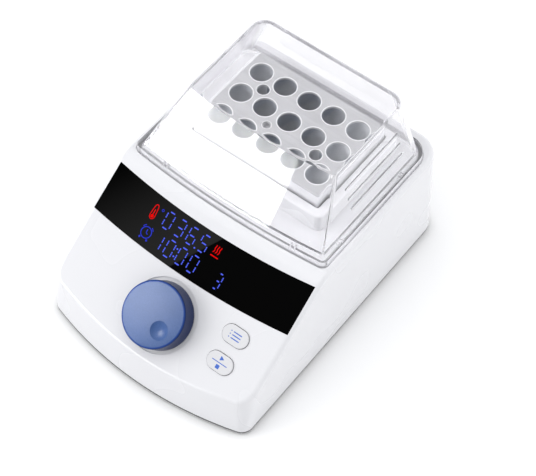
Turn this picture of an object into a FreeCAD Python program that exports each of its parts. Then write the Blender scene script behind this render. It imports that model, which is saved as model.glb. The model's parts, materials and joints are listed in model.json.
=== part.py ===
import FreeCAD, Part
import os
import math

# Dry bath incubator, in millimetres. The origin is on the table under the middle of the body.
# +Z is up, -Y is the front with the control panel, +X is the right-hand side.
# "Up the panel" is the direction from the front lip to the crest, and "above the panel" is along its normal.

V = FreeCAD.Vector
ORIGIN = V(0, 0, 0)
X_DIR = V(1, 0, 0)
Y_DIR = V(0, 1, 0)
Z_DIR = V(0, 0, 1)

# Body
body_width = 115.8
body_depth = 163.8
deck_height = 64.8
wall = 2.5
side_draft = 0.1
rear_draft = 4.5
front_lean = 9.7
front_bow = 9.3
deck_bow = 0.8
front_corner = 6.0
deck_front_corner = 14.0
rear_corner = 10.5
deck_rear_corner = 13.0
edge_round = 2.4

# Sloped control panel: it starts a little behind the front and takes its share of the depth
panel_angle = 35.66
panel_start = 6.65
panel_share = 0.3538
crest_round = 14.0

# Base tray and feet
foot_drop = 1.5
foot_diameter = 12.0
foot_recess = 0.7
foot_edge_side = 21.9
foot_edge_front = 13.0
foot_edge_rear = 13.0
tray_lip = 0.8
tray_inset = 0.5
tray_floor = 2.2
tray_fit = 0.3
slot_width = 2.4
slot_length = 22.0
slot_pitch = 6.0
slot_rows = 5

# General clearances, and how far a cut runs past the face that it goes through
screw_play = 0.05
head_play = 0.4
hole_end_gap = 0.5
cut_past = 1.0
small_round = 0.4

# Case screws and their bosses
case_screw = 3.0
case_head = 5.6
case_head_height = 1.6
case_screw_reach = 12.0
boss_wall = 2.5
boss_from_side = 9.4
boss_from_rear = 9.4
boss_from_front = 14.0
case_head_sink = 0.2

# Lid seat and the raised collar round the block
seat_depth = 1.2
seat_gap = 0.5
collar_height = 10.4
collar_width = 4.2
collar_round = 3.5
collar_lip = 1.0
block_gap = 0.9
chamber_round = 1.5

# Lid
lid_height = 34.2
lid_wall = 2.0
rim_from_side = 3.5
rim_from_crest = 1.2
rim_from_rear = 11.3
rim_bow = 3.0
rim_front_corner = 3.5
rim_rear_corner = 10.0
skirt_height = 4.4
skirt_taper = 0.3
ledge_width = 2.6
lid_top_width = 82.0
lid_top_from_front = 24.3
lid_top_from_rear = 5.0
lid_top_bow = 2.8
lid_top_front_corner = 2.6
lid_top_rear_corner = 8.0
lid_edge_round = 1.7
least_corner = 0.5
grip_count = 3
grip_first = 12.4
grip_pitch = 5.6
grip_radius = 0.8
grip_from_front = 6.1
grip_from_rear = 12.3
tab_rib = 0.8
tab_gap = 1.4
tab_reach = 1.7
tab_from_side = 17.9
tab_from_front = 18.6
tab_from_rear = 21.1
tab_rise = 0.4

# Heating block: it takes its share of the body's width and depth, and the wells take theirs of the block
block_width_share = 0.6131
block_depth_share = 0.3083
block_height = 38.0
block_from_rim = 12.9
block_stand = 7.3
block_round = 0.8
block_chamfer = 0.4
well_columns = 5
well_rows = 3
well_share_x = 0.1948
well_share_y = 0.3063
well_diameter = 10.9
well_straight = 20.0
well_depth = 34.0
well_tip = 4.4
well_chamfer = 0.35
probe_well_diameter = 6.2
probe_well_depth = 30.0
block_screw_diameter = 4.0
block_screw_head = 6.8
block_screw_head_height = 4.0
block_screw_sink = 4.6
block_screw_reach = 4.0
hex_key = 3.0
hex_depth = 2.2

# Heater under the block
plate_thickness = 6.0
plate_inset = 0.5
pad_thickness = 1.2
pad_inset = 3.5
pad_round = 2.0
clamp_thickness = 1.2
clamp_screw = 2.5
clamp_head = 4.6
clamp_head_height = 1.8
clamp_round = 1.0
clamp_screw_inset = 7.0
clamp_screw_bite = 3.5
clamp_hole_play = 1.0
base_board_thickness = 5.0
liner_wall = 1.6
liner_flange = 4.0
sleeve_thickness = 5.5
bracket_thickness = 1.2
bracket_margin = 1.5
bracket_round = 3.0
bracket_ear = 9.0
bracket_ear_inset = 9.5
post_from_side = 5.9
post_diameter = 7.6
bracket_screw = 3.0
bracket_head = 5.4
bracket_head_height = 2.0
bracket_screw_reach = 9.0
probe_diameter = 3.0
probe_in_plate = 14.0
probe_tail = 2.5
probe_play = 0.05
probe_hole_play = 0.5
cutout_diameter = 15.6
cutout_flange = 20.0
cutout_flange_thickness = 1.0
cutout_hole_play = 0.5
cutout_x = 14.0
cutout_blade_width = 4.4
cutout_blade_thickness = 0.8
cutout_blade_length = 5.0
cutout_blade_offset = 4.5

# Display band
band_top_from_side = 2.2
band_foot_from_side = 1.9
band_top_end_down = 5.03
band_top_middle_down = 9.13
band_foot_end_down = 29.53
band_foot_middle_down = 33.53
band_thickness = 1.2
band_gap = 0.1
module_width = 66.0
module_depth = 17.0
module_down = 21.83
module_gap = 0.3
module_round = 0.6
module_opening_play = 0.4
module_opening_round = 1.0

# Control board behind the panel
board_thickness = 1.6
board_drop = 10.0
board_from_side = 6.9
board_round = 2.0
board_foot = 7.0
board_top_down = 7.83
board_screw = 2.5
board_head = 4.4
board_head_height = 1.6
board_screw_bite = 5.5
board_screw_inset = 4.0
board_post = 6.0

# Rotary knob and encoder
knob_share = 0.2439
knob_diameter = 32.2
knob_top_diameter = 31.4
knob_height = 9.5
knob_stand = 0.3
knob_edge = 0.9
knob_wall = 1.8
knob_hub = 11.0
knob_well_diameter = 35.6
knob_well_depth = 0.8
dimple_offset_x = 6.4
dimple_offset_up = -4.6
dimple_radius = 4.5
dimple_depth = 1.3
knob_travel = 0.6
encoder_size = 12.4
encoder_height = 6.0
encoder_round = 0.5
bush_diameter = 9.0
bush_hole_play = 0.2
bush_stand = 2.0
shaft_diameter = 6.0
shaft_play = 0.06
shaft_flat = 1.5
shaft_in_knob = 6.0
shaft_foot = 2.0
plunger_thickness = 0.8
plunger_inset = 0.5
plunger_gap = 0.05

# Push buttons and their switches
button_from_side = 22.2
program_share = 0.3981
run_share = 0.2033
button_length = 13.6
button_width = 8.6
button_stand = 0.9
button_edge = 0.5
button_gap = 0.25
button_flange = 1.0
button_flange_thickness = 1.2
button_flange_gap = 0.3
button_travel = 0.5
button_stem = 3.4
switch_size = 6.0
switch_height = 3.5
switch_stem = 3.4
switch_stem_play = 0.1
switch_stem_stand = 1.5
switch_floor = 0.4
switch_stem_gap = 0.3

# Small parts on the control board
buzzer_diameter = 9.0
buzzer_height = 5.0
buzzer_x = 27.0
buzzer_down = 21.33
buzzer_hole = 2.0
buzzer_hole_depth = 1.2
header_length = 14.0
header_depth = 5.0
header_height = 6.0
panel_header_up = 18.0
header_x = -16.0
header_inset = 1.0

# Main board
main_width = 66.0
main_depth = 54.0
main_before_block = 1.45
main_stand = 5.0
main_post = 6.0
main_post_inset = 4.0
main_screw = 2.5
main_head = 4.4
main_head_height = 1.6
main_screw_reach = 4.5
sink_width = 22.0
sink_depth = 12.0
sink_below_bracket = 3.6
sink_fins = 5
sink_fin = 1.1
sink_base = 2.0
sink_x = 14.0
sink_forward = 14.0
transistor_width = 10.0
transistor_below_bracket = 5.6
transistor_thickness = 4.0
capacitor_diameter = 8.0
capacitor_below_bracket = 5.6
capacitor_edge = 0.8
capacitor_count = 2
capacitor_x = -14.0
capacitor_back = 13.0
capacitor_pitch = 11.0
coil_outer = 14.0
coil_inner = 6.0
coil_height = 6.5
coil_edge = 1.5
coil_x = -14.0
coil_forward = 3.0
terminal_width = 20.0
terminal_depth = 8.0
terminal_below_bracket = 8.6
terminal_x = 14.0
terminal_back = 17.0
terminal_ways = 4
terminal_hole = 3.0
ribbon_width = 12.0
ribbon_thickness = 1.0
ribbon_rise = 3.0
ribbon_bend = 9.0

# Rear pocket with the power inlet and the rocker switch
pocket_width = 76.0
pocket_low = 7.4
pocket_over_bracket = 0.9
pocket_depth = 5.4
pocket_round = 3.0
inlet_x = -24.0
inlet_flange = 14.0
inlet_flange_thickness = 1.5
inlet_barrel = 10.8
inlet_length = 15.0
inlet_bore = 5.6
inlet_bore_depth = 10.0
inlet_pin = 2.1
inlet_pin_short = 1.0
inlet_play = 0.1
inlet_nut = 14.0
inlet_nut_thickness = 2.5
rocker_x = 24.0
rocker_flange_width = 15.0
rocker_flange_inset = 0.6
rocker_flange_thickness = 1.6
rocker_body_width = 12.8
rocker_flange_lip = 1.1
rocker_body_depth = 13.0
rocker_round = 1.2
rocker_mouth_round = 0.3
rocker_play = 0.1
rocker_mouth_width = 10.4
rocker_mouth_wall = 0.6
rocker_mouth_depth = 7.0
paddle_side_gap = 0.3
paddle_end_gap = 0.9
paddle_crown = 1.9
paddle_end = 3.2
paddle_edge = 2.4
paddle_root = 2.4
paddle_tilt = -10.0
vent_count = 7
vent_pitch = 8.0
vent_width = 2.6
vent_low = 40.0
vent_high = 54.0

# Heights and places that follow from the sizes above
front_y = -body_depth / 2
rear_y = body_depth / 2
panel_foot_y = front_y + panel_start
crest_y = panel_foot_y + body_depth * panel_share
tan_panel = math.tan(math.radians(panel_angle))
panel_foot_z = deck_height - (crest_y - panel_foot_y) * tan_panel
panel_length = (crest_y - panel_foot_y) / math.cos(math.radians(panel_angle))
band_half_top = body_width / 2 - band_top_from_side
band_half_foot = body_width / 2 - band_foot_from_side
band_top_end = panel_length - band_top_end_down
band_top_middle = panel_length - band_top_middle_down
band_foot_end = panel_length - band_foot_end_down
band_foot_middle = panel_length - band_foot_middle_down
module_up = panel_length - module_down
board_width = body_width - 2 * board_from_side
board_top = panel_length - board_top_down
buzzer_up = panel_length - buzzer_down
knob_up = panel_length * knob_share
program_up = panel_length * program_share
run_up = panel_length * run_share
button_x = body_width / 2 - button_from_side
rim_width = body_width - 2 * rim_from_side
rim_front = crest_y + rim_from_crest
rim_rear = rear_y - rim_from_rear
lid_top_front = rim_front + lid_top_from_front
lid_top_rear = rim_rear - lid_top_from_rear
grip_front = lid_top_front + grip_from_front
grip_length = lid_top_rear - grip_from_rear - grip_front
tab_x = rim_width / 2 - tab_from_side
tab_front_y = rim_front + tab_from_front
tab_rear_y = rim_rear - tab_from_rear
block_width = body_width * block_width_share
block_depth = body_depth * block_depth_share
block_y = rim_rear - block_from_rim - block_depth / 2
well_pitch_x = block_width * well_share_x
well_pitch_y = block_depth * well_share_y
main_y = block_y - main_before_block
sink_y = main_y - sink_forward
capacitor_y = main_y + capacitor_back
coil_y = main_y - coil_forward
terminal_y = main_y + terminal_back
body_bottom = foot_drop + tray_lip
tray_top = foot_drop + tray_floor + tray_lip
seat_z = deck_height - seat_depth
deck_under = seat_z - wall
collar_top = seat_z + collar_height
block_top = collar_top + block_stand
block_bottom = block_top - block_height
plate_bottom = block_bottom - plate_thickness
pad_bottom = plate_bottom - pad_thickness
clamp_bottom = pad_bottom - clamp_thickness
bracket_top = clamp_bottom - base_board_thickness
bracket_bottom = bracket_top - bracket_thickness
chamber_width = block_width + 2 * block_gap
chamber_depth = block_depth + 2 * block_gap
liner_width = chamber_width + 2 * liner_wall
liner_depth = chamber_depth + 2 * liner_wall
liner_round = chamber_round + liner_wall
sleeve_width = liner_width + 2 * sleeve_thickness
sleeve_depth = liner_depth + 2 * sleeve_thickness
lid_top = seat_z + lid_height
skirt_top = seat_z + skirt_height
main_bottom = tray_top + main_stand
main_top = main_bottom + board_thickness
sink_height = bracket_bottom - main_top - sink_below_bracket
transistor_height = bracket_bottom - main_top - transistor_below_bracket
capacitor_height = bracket_bottom - main_top - capacitor_below_bracket
terminal_height = bracket_bottom - main_top - terminal_below_bracket
pocket_floor = rear_y - pocket_depth
pocket_high = bracket_bottom + pocket_over_bracket
pocket_z = (pocket_low + pocket_high) / 2
rocker_flange_height = pocket_high - pocket_low - 2 * rocker_flange_inset
rocker_body_height = rocker_flange_height - 2 * rocker_flange_lip
rocker_mouth_height = rocker_body_height - 2 * rocker_mouth_wall
paddle_half = rocker_mouth_height / 2 - paddle_end_gap


def save(name, shape):
    shape.exportStep(os.path.join("parts", name + ".step"))
    print(name, len(shape.Solids), "solid(s)", round(shape.Volume, 1), "mm3")


def fuse(shapes):
    return shapes[0].multiFuse(shapes[1:]).removeSplitter()


def group(shapes):
    return Part.makeCompound(shapes)


def box(x0, x1, y0, y1, z0, z1):
    return Part.makeBox(x1 - x0, y1 - y0, z1 - z0, V(x0, y0, z0))


def disc(x, y, z0, z1, diameter):
    return Part.makeCylinder(diameter / 2, z1 - z0, V(x, y, z0))


def rounded_rectangle(x0, x1, y0, y1, radius, z):
    # A rectangle with rounded corners, as a wire at height z.
    mid = radius * (1 - math.sqrt(0.5))
    edges = [
        Part.LineSegment(V(x0 + radius, y0, z), V(x1 - radius, y0, z)),
        Part.Arc(V(x1 - radius, y0, z), V(x1 - mid, y0 + mid, z), V(x1, y0 + radius, z)),
        Part.LineSegment(V(x1, y0 + radius, z), V(x1, y1 - radius, z)),
        Part.Arc(V(x1, y1 - radius, z), V(x1 - mid, y1 - mid, z), V(x1 - radius, y1, z)),
        Part.LineSegment(V(x1 - radius, y1, z), V(x0 + radius, y1, z)),
        Part.Arc(V(x0 + radius, y1, z), V(x0 + mid, y1 - mid, z), V(x0, y1 - radius, z)),
        Part.LineSegment(V(x0, y1 - radius, z), V(x0, y0 + radius, z)),
        Part.Arc(V(x0, y0 + radius, z), V(x0 + mid, y0 + mid, z), V(x0 + radius, y0, z)),
    ]
    return Part.Wire([edge.toShape() for edge in edges])


def rounded_block(x, y, width, depth, radius, z0, z1):
    wire = rounded_rectangle(x - width / 2, x + width / 2, y - depth / 2, y + depth / 2, radius, z0)
    return Part.Face(wire).extrude(V(0, 0, z1 - z0))


def slot_block(x, y, length, width, z0, z1):
    # An obround bar with its long side along X.
    reach = length / 2 - width / 2
    edges = [
        Part.LineSegment(V(x - reach, y - width / 2, z0), V(x + reach, y - width / 2, z0)),
        Part.Arc(V(x + reach, y - width / 2, z0), V(x + length / 2, y, z0), V(x + reach, y + width / 2, z0)),
        Part.LineSegment(V(x + reach, y + width / 2, z0), V(x - reach, y + width / 2, z0)),
        Part.Arc(V(x - reach, y + width / 2, z0), V(x - length / 2, y, z0), V(x - reach, y - width / 2, z0)),
    ]
    wire = Part.Wire([edge.toShape() for edge in edges])
    return Part.Face(wire).extrude(V(0, 0, z1 - z0))


def bowed_outline(half_width, front, rear, bow, front_radius, rear_radius, z):
    # Straight sides and rear, and a front that bows forward as one arc, all corners rounded.
    arc_radius = (half_width ** 2 + bow ** 2) / (2 * bow)
    arc_y = front + arc_radius
    corner_x = half_width - front_radius
    corner_y = arc_y - math.sqrt((arc_radius - front_radius) ** 2 - corner_x ** 2)
    turn = math.atan2(corner_x, arc_y - corner_y)
    joint_x = arc_radius * math.sin(turn)
    joint_y = arc_y - arc_radius * math.cos(turn)
    half_turn = (turn + math.pi / 2) / 2
    bulge_x = corner_x + front_radius * math.sin(half_turn)
    bulge_y = corner_y - front_radius * math.cos(half_turn)
    mid = rear_radius * (1 - math.sqrt(0.5))
    side_end = rear - rear_radius
    rear_end = half_width - rear_radius
    edges = [
        Part.Arc(V(-joint_x, joint_y, z), V(0, front, z), V(joint_x, joint_y, z)),
        Part.Arc(V(joint_x, joint_y, z), V(bulge_x, bulge_y, z), V(half_width, corner_y, z)),
        Part.LineSegment(V(half_width, corner_y, z), V(half_width, side_end, z)),
        Part.Arc(V(half_width, side_end, z), V(half_width - mid, rear - mid, z), V(rear_end, rear, z)),
        Part.LineSegment(V(rear_end, rear, z), V(-rear_end, rear, z)),
        Part.Arc(V(-rear_end, rear, z), V(mid - half_width, rear - mid, z), V(-half_width, side_end, z)),
        Part.LineSegment(V(-half_width, side_end, z), V(-half_width, corner_y, z)),
        Part.Arc(V(-half_width, corner_y, z), V(-bulge_x, bulge_y, z), V(-joint_x, joint_y, z)),
    ]
    return Part.Wire([edge.toShape() for edge in edges])


def bow_depth(x, half_width, bow):
    # How far the bowed front lies behind its foremost point at x.
    arc_radius = (half_width ** 2 + bow ** 2) / (2 * bow)
    return arc_radius - math.sqrt(arc_radius ** 2 - x ** 2)


def skin(lower, upper):
    return Part.makeLoft([lower, upper], True, True)


def on_panel(shape):
    # Carries a shape drawn flat (X across, Y up the panel, Z above it) to its place on the panel.
    placed = shape.copy()
    placed.rotate(ORIGIN, X_DIR, panel_angle)
    placed.translate(V(0, panel_foot_y, panel_foot_z))
    return placed


def body_outline(z, inset):
    rise = z - body_bottom
    share = rise / (deck_height - body_bottom)
    half_width = body_width / 2 - rise * math.tan(math.radians(side_draft)) - inset
    front = front_y + rise * math.tan(math.radians(front_lean)) + inset
    rear = rear_y - rise * math.tan(math.radians(rear_draft)) - inset
    bow = front_bow + (deck_bow - front_bow) * share
    front_turn = front_corner + (deck_front_corner - front_corner) * share
    rear_turn = rear_corner + (deck_rear_corner - rear_corner) * share
    return bowed_outline(half_width, front, rear, bow, front_turn - inset, rear_turn - inset, z)


def wedge(inset, top):
    # The side view of the body, from the front wall over the sloped panel and the crest to the deck.
    slope = math.radians(panel_angle)
    far = body_depth
    line_y = crest_y + inset * math.sin(slope)
    line_z = deck_height - inset * math.cos(slope)
    corner_y = line_y + (top - line_z) / math.tan(slope)
    radius = crest_round - inset
    reach = radius * math.tan(slope / 2)
    start = V(0, corner_y - reach * math.cos(slope), top - reach * math.sin(slope))
    end = V(0, corner_y + reach, top)
    middle = V(0, end.y - radius * math.sin(slope / 2), top - radius + radius * math.cos(slope / 2))
    foot = V(0, start.y - far * math.cos(slope), start.z - far * math.sin(slope))
    edges = [
        Part.LineSegment(foot, start),
        Part.Arc(start, middle, end),
        Part.LineSegment(end, V(0, far, top)),
        Part.LineSegment(V(0, far, top), V(0, far, foot.z)),
        Part.LineSegment(V(0, far, foot.z), foot),
    ]
    face = Part.Face(Part.Wire([edge.toShape() for edge in edges]))
    face.translate(V(-body_width, 0, 0))
    return face.extrude(V(2 * body_width, 0, 0))


def body_form(inset, top):
    walls = skin(body_outline(body_bottom, inset), body_outline(deck_height, inset))
    return walls.common(wedge(inset, top))


def looks_up(face):
    u0, u1, v0, v1 = face.ParameterRange
    return face.normalAt((u0 + u1) / 2, (v0 + v1) / 2).z > 0.5


def rounded_body():
    # The outer form with one soft edge all round the deck, the crest and the panel.
    form = body_form(0, deck_height)
    tops = [face for face in form.Faces if looks_up(face)]
    edges = [edge for face in tops for edge in face.Edges]
    rim = [edge for edge in edges if sum(edge.isSame(other) for other in edges) == 1]
    return form.makeFillet(edge_round, rim)


def lid_outline(z, grow):
    return bowed_outline(rim_width / 2 + grow, rim_front - grow, rim_rear + grow, rim_bow,
                         rim_front_corner + grow, rim_rear_corner + grow, z)


def band_outline(grow, z):
    # The display band: two bowed long edges and straight ends, flat on the panel.
    foot_left = V(-band_half_foot - grow, band_foot_end - grow, z)
    foot_right = V(band_half_foot + grow, band_foot_end - grow, z)
    top_left = V(-band_half_top - grow, band_top_end + grow, z)
    top_right = V(band_half_top + grow, band_top_end + grow, z)
    edges = [
        Part.Arc(foot_left, V(0, band_foot_middle - grow, z), foot_right),
        Part.LineSegment(foot_right, top_right),
        Part.Arc(top_right, V(0, band_top_middle + grow, z), top_left),
        Part.LineSegment(top_left, foot_left),
    ]
    return Part.Wire([edge.toShape() for edge in edges])


def case_screw_places():
    side = body_width / 2 - boss_from_side
    return [(x, y) for y in (front_y + boss_from_front, rear_y - boss_from_rear) for x in (-side, side)]


def board_screw_places():
    side = board_width / 2 - board_screw_inset
    return [(x, up) for up in (board_foot + board_screw_inset, board_top - board_screw_inset)
            for x in (-side, side)]


def bracket_post_places():
    side = body_width / 2 - wall - post_from_side
    reach = sleeve_depth / 2 + bracket_margin - bracket_ear_inset
    return [(x, block_y + dy) for dy in (-reach, reach) for x in (-side, side)]


def main_post_places():
    side = main_width / 2 - main_post_inset
    reach = main_depth / 2 - main_post_inset
    return [(x, main_y + dy) for dy in (-reach, reach) for x in (-side, side)]


def clamp_screw_places():
    side = block_width / 2 - clamp_screw_inset
    reach = block_depth / 2 - clamp_screw_inset
    return [(x, block_y + dy) for dy in (-reach, reach) for x in (-side, side)]


def foot_places():
    side = body_width / 2 - foot_edge_side
    front = front_y + foot_edge_front
    rear = rear_y - foot_edge_rear
    return [("front_left", -side, front), ("front_right", side, front),
            ("rear_left", -side, rear), ("rear_right", side, rear)]


def housing_bosses(form):
    size = case_screw + 2 * boss_wall
    posts = [disc(x, y, tray_top, deck_height, size) for x, y in case_screw_places()]
    return [post.common(form) for post in posts]


def board_posts(form):
    posts = [on_panel(disc(x, up, -board_drop, 0, board_post)) for x, up in board_screw_places()]
    return [post.common(form) for post in posts]


def collar():
    width = chamber_width + 2 * collar_width
    depth = chamber_depth + 2 * collar_width
    ring = rounded_block(0, block_y, width, depth, collar_round, deck_under, collar_top)
    rim = [edge for edge in ring.Edges if abs(edge.CenterOfMass.z - collar_top) < 0.01]
    return ring.makeFillet(collar_lip, rim)


def pocket_block(form):
    # The boxed-in recess in the rear wall that takes the inlet and the switch.
    block = box(-pocket_width / 2 - wall, pocket_width / 2 + wall, pocket_floor - wall, rear_y,
                pocket_low - wall, pocket_high + wall)
    return block.common(form)


def rear_plate(width, height, radius, z_middle, x_middle, y0, y1):
    # A rounded plate that stands upright, its thickness along Y.
    plate = rounded_block(0, 0, width, height, radius, 0, y1 - y0)
    plate.rotate(ORIGIN, X_DIR, 90)
    plate.translate(V(x_middle, y1, z_middle))
    return plate


def rear_vents():
    first = -(vent_count - 1) / 2 * vent_pitch
    depth = 2 * rear_corner
    slots = []
    for n in range(vent_count):
        slot = slot_block(0, 0, vent_high - vent_low, vent_width, 0, depth)
        slot.rotate(ORIGIN, Z_DIR, 90)
        slot.rotate(ORIGIN, X_DIR, 90)
        slot.translate(V(first + n * vent_pitch, rear_y, (vent_high + vent_low) / 2))
        slots.append(slot)
    return slots


def panel_cuts():
    well = disc(0, knob_up, -knob_well_depth, wall, knob_well_diameter)
    cuts = [
        Part.Face(band_outline(band_gap, -band_thickness)).extrude(V(0, 0, wall + band_thickness)),
        rounded_block(0, module_up, module_width + 2 * module_opening_play,
                      module_depth + 2 * module_opening_play, module_opening_round, -2 * wall, 0),
        well,
        disc(0, knob_up, -2 * wall, 0, bush_diameter + 2 * bush_hole_play),
    ]
    for up in (program_up, run_up):
        cuts.append(slot_block(button_x, up, button_length + 2 * button_gap, button_width + 2 * button_gap,
                               -2 * wall, wall))
    return [on_panel(cut) for cut in cuts]


def upper_housing(form):
    hollow = body_form(wall, deck_under)
    shell = form.cut(hollow)
    shell = shell.multiFuse(housing_bosses(form) + board_posts(form) + [pocket_block(form)])
    shell = shell.cut(Part.Face(lid_outline(seat_z, seat_gap)).extrude(V(0, 0, 2 * seat_depth)))
    shell = shell.fuse(collar())
    cuts = [rounded_block(0, block_y, chamber_width, chamber_depth, chamber_round,
                          deck_under - wall, block_top)]
    cuts += panel_cuts()
    cuts.append(rear_plate(pocket_width, pocket_high - pocket_low, pocket_round, pocket_z, 0,
                           pocket_floor, rear_y + wall))
    cuts.append(rear_plate(rocker_body_width + 2 * rocker_play, rocker_body_height + 2 * rocker_play,
                           small_round, pocket_z, rocker_x, pocket_floor - 2 * wall, pocket_floor + wall))
    cuts.append(Part.makeCylinder(inlet_barrel / 2 + inlet_play, 3 * wall,
                                  V(inlet_x, pocket_floor - 2 * wall, pocket_z), Y_DIR))
    cuts += rear_vents()
    screw_end = tray_top + case_screw_reach + cut_past
    for x, y in case_screw_places():
        cuts.append(disc(x, y, foot_drop, screw_end, case_screw + 2 * screw_play))
    for x, up in board_screw_places():
        cuts.append(on_panel(disc(x, up, -board_drop - cut_past, -board_drop + board_screw_bite,
                                  board_screw + 2 * screw_play)))
    return shell.cut(cuts)


def tray_slots():
    first = main_y - (slot_rows - 1) / 2 * slot_pitch
    return [slot_block(0, first + n * slot_pitch, slot_length, slot_width, 0, tray_top + cut_past)
            for n in range(slot_rows)]


def base_tray():
    plate = Part.Face(body_outline(body_bottom, tray_inset))
    plate.translate(V(0, 0, foot_drop - body_bottom))
    plate = plate.extrude(V(0, 0, tray_lip))
    plug = skin(body_outline(body_bottom, wall + tray_fit), body_outline(tray_top, wall + tray_fit))
    pieces = [plate, plug]
    for x, y in bracket_post_places():
        pieces.append(disc(x, y, foot_drop + tray_lip, bracket_bottom, post_diameter))
    for x, y in main_post_places():
        pieces.append(disc(x, y, foot_drop + tray_lip, main_bottom, main_post))
    tray = fuse(pieces)
    cuts = tray_slots()
    for name, x, y in foot_places():
        cuts.append(disc(x, y, 0, foot_drop + foot_recess, foot_diameter))
    for x, y in case_screw_places():
        cuts.append(disc(x, y, 0, tray_top + cut_past, case_screw + head_play))
        cuts.append(disc(x, y, 0, foot_drop + case_head_height, case_head + head_play))
    for x, y in bracket_post_places():
        cuts.append(disc(x, y, bracket_top - bracket_screw_reach, bracket_bottom + cut_past,
                         bracket_screw + 2 * screw_play))
    for x, y in main_post_places():
        cuts.append(disc(x, y, main_top - main_screw_reach - board_thickness, main_bottom + cut_past,
                         main_screw + 2 * screw_play))
    return tray.cut(cuts)


def rubber_foot(x, y):
    foot = disc(x, y, 0, foot_drop + foot_recess, foot_diameter)
    sole = [edge for edge in foot.Edges if abs(edge.CenterOfMass.z) < 0.01 and edge.Closed]
    return foot.makeChamfer(foot_drop / 3, sole)


def pan_screw(x, y, head_z, head, head_height, shank, reach, upwards):
    # A screw whose head bears on a face at head_z, with its shank going up or down from there.
    sign = 1 if upwards else -1
    top = Part.makeCylinder(head / 2, head_height, V(x, y, head_z), V(0, 0, -sign))
    rim = [edge for edge in top.Edges if edge.Closed and abs(edge.CenterOfMass.z - head_z) > head_height / 2]
    top = top.makeFillet(head_height / 3, rim)
    stem = Part.makeCylinder(shank / 2, reach, V(x, y, head_z), V(0, 0, sign))
    return top.fuse(stem)


def case_screws():
    head_z = foot_drop + case_head_height
    reach = tray_top + case_screw_reach - head_z
    height = case_head_height - case_head_sink
    return group([pan_screw(x, y, head_z, case_head, height, case_screw, reach, True)
                  for x, y in case_screw_places()])


def hood_foot(grow, z):
    # The outline where the sloped walls meet the ledge of the skirt.
    step = ledge_width + skirt_taper - grow
    front_turn = max(rim_front_corner - step, least_corner)
    rear_turn = max(rim_rear_corner - step, least_corner)
    return bowed_outline(rim_width / 2 - step, rim_front + step, rim_rear - step, rim_bow,
                         front_turn, rear_turn, z)


def hood(grow, top):
    # The sloped upper part of the lid, from the ledge to the top.
    head = bowed_outline(lid_top_width / 2 + grow, lid_top_front - grow, lid_top_rear + grow, lid_top_bow,
                         max(lid_top_front_corner + grow, least_corner), lid_top_rear_corner + grow, lid_top)
    solid = skin(hood_foot(grow, skirt_top), head)
    if top < lid_top:
        solid = solid.common(box(-rim_width, rim_width, -rim_width, 2 * rim_width, 0, top))
    return solid


def hood_half_width(z):
    foot = rim_width / 2 - ledge_width - skirt_taper
    share = (z - skirt_top) / (lid_top - skirt_top)
    return foot + (lid_top_width / 2 - foot) * share


def grips():
    # Three raised bars with round ends on each sloped side wall.
    bars = []
    for side in (-1, 1):
        for n in range(grip_count):
            z = seat_z + grip_first + n * grip_pitch
            x = side * hood_half_width(z)
            bars.append(Part.makeCylinder(grip_radius, grip_length, V(x, grip_front, z), Y_DIR))
            bars.append(Part.makeSphere(grip_radius, V(x, grip_front, z)))
            bars.append(Part.makeSphere(grip_radius, V(x, grip_front + grip_length, z)))
    return bars


def lid_tabs():
    # Pairs of small upright ribs inside the skirt, which centre the lid on its seat.
    low = seat_z + tab_rise
    high = skirt_top - lid_wall
    pairs = []
    for offset in (-(tab_gap + tab_rib) / 2, (tab_gap + tab_rib) / 2):
        for x in (-tab_x, tab_x):
            front = rim_front + bow_depth(x, rim_width / 2, rim_bow) + lid_wall / 2
            pairs.append(box(x + offset - tab_rib / 2, x + offset + tab_rib / 2,
                             front, front + lid_wall / 2 + tab_reach, low, high + lid_wall / 2))
        for y in (tab_front_y, tab_rear_y):
            for side in (-1, 1):
                outer = side * (rim_width / 2 - lid_wall / 2)
                inner = side * (rim_width / 2 - lid_wall - tab_reach)
                pairs.append(box(min(outer, inner), max(outer, inner), y + offset - tab_rib / 2,
                                 y + offset + tab_rib / 2, low, high + lid_wall / 2))
    return pairs


def lid():
    skirt = skin(lid_outline(seat_z, 0), lid_outline(skirt_top, -skirt_taper))
    dome = hood(0, lid_top)
    brim = [edge for edge in dome.Edges if min(v.Z for v in edge.Vertexes) > lid_top - 0.01]
    dome = dome.makeFillet(lid_edge_round, brim)
    skirt_hollow = skin(lid_outline(seat_z, -lid_wall), lid_outline(skirt_top, -skirt_taper - lid_wall))
    skirt_hollow = skirt_hollow.common(box(-rim_width, rim_width, -rim_width, 2 * rim_width, 0,
                                           skirt_top - lid_wall))
    throat = Part.Face(hood_foot(-lid_wall, skirt_top - 2 * lid_wall)).extrude(V(0, 0, 2 * lid_wall))
    outer = fuse([skirt, dome] + grips())
    hollow = fuse([skirt_hollow, throat, hood(-lid_wall, lid_top - lid_wall)])
    return outer.cut(hollow).multiFuse(lid_tabs())


def tube_well(x, y):
    # A bore for a tapered tube: straight, then a cone, with a bright chamfer at its mouth.
    radius = well_diameter / 2
    cone_depth = well_depth - well_straight
    mouth = Part.makeCone(radius, radius + 2 * well_chamfer, 2 * well_chamfer,
                          V(x, y, block_top - well_chamfer))
    straight = disc(x, y, block_top - well_straight, block_top, well_diameter)
    taper = Part.makeCone(well_tip / 2, radius, cone_depth, V(x, y, block_top - well_depth))
    return [mouth, straight, taper]


def well_places():
    columns = [(n - (well_columns - 1) / 2) * well_pitch_x for n in range(well_columns)]
    rows = [block_y + (n - (well_rows - 1) / 2) * well_pitch_y for n in range(well_rows)]
    return [(x, y) for y in rows for x in columns]


def probe_well_places():
    side = 1.5 * well_pitch_x
    return [(-side, block_y + well_pitch_y / 2), (side, block_y - well_pitch_y / 2)]


def block_screw_place():
    return (-0.5 * well_pitch_x, block_y - well_pitch_y / 2)


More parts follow.
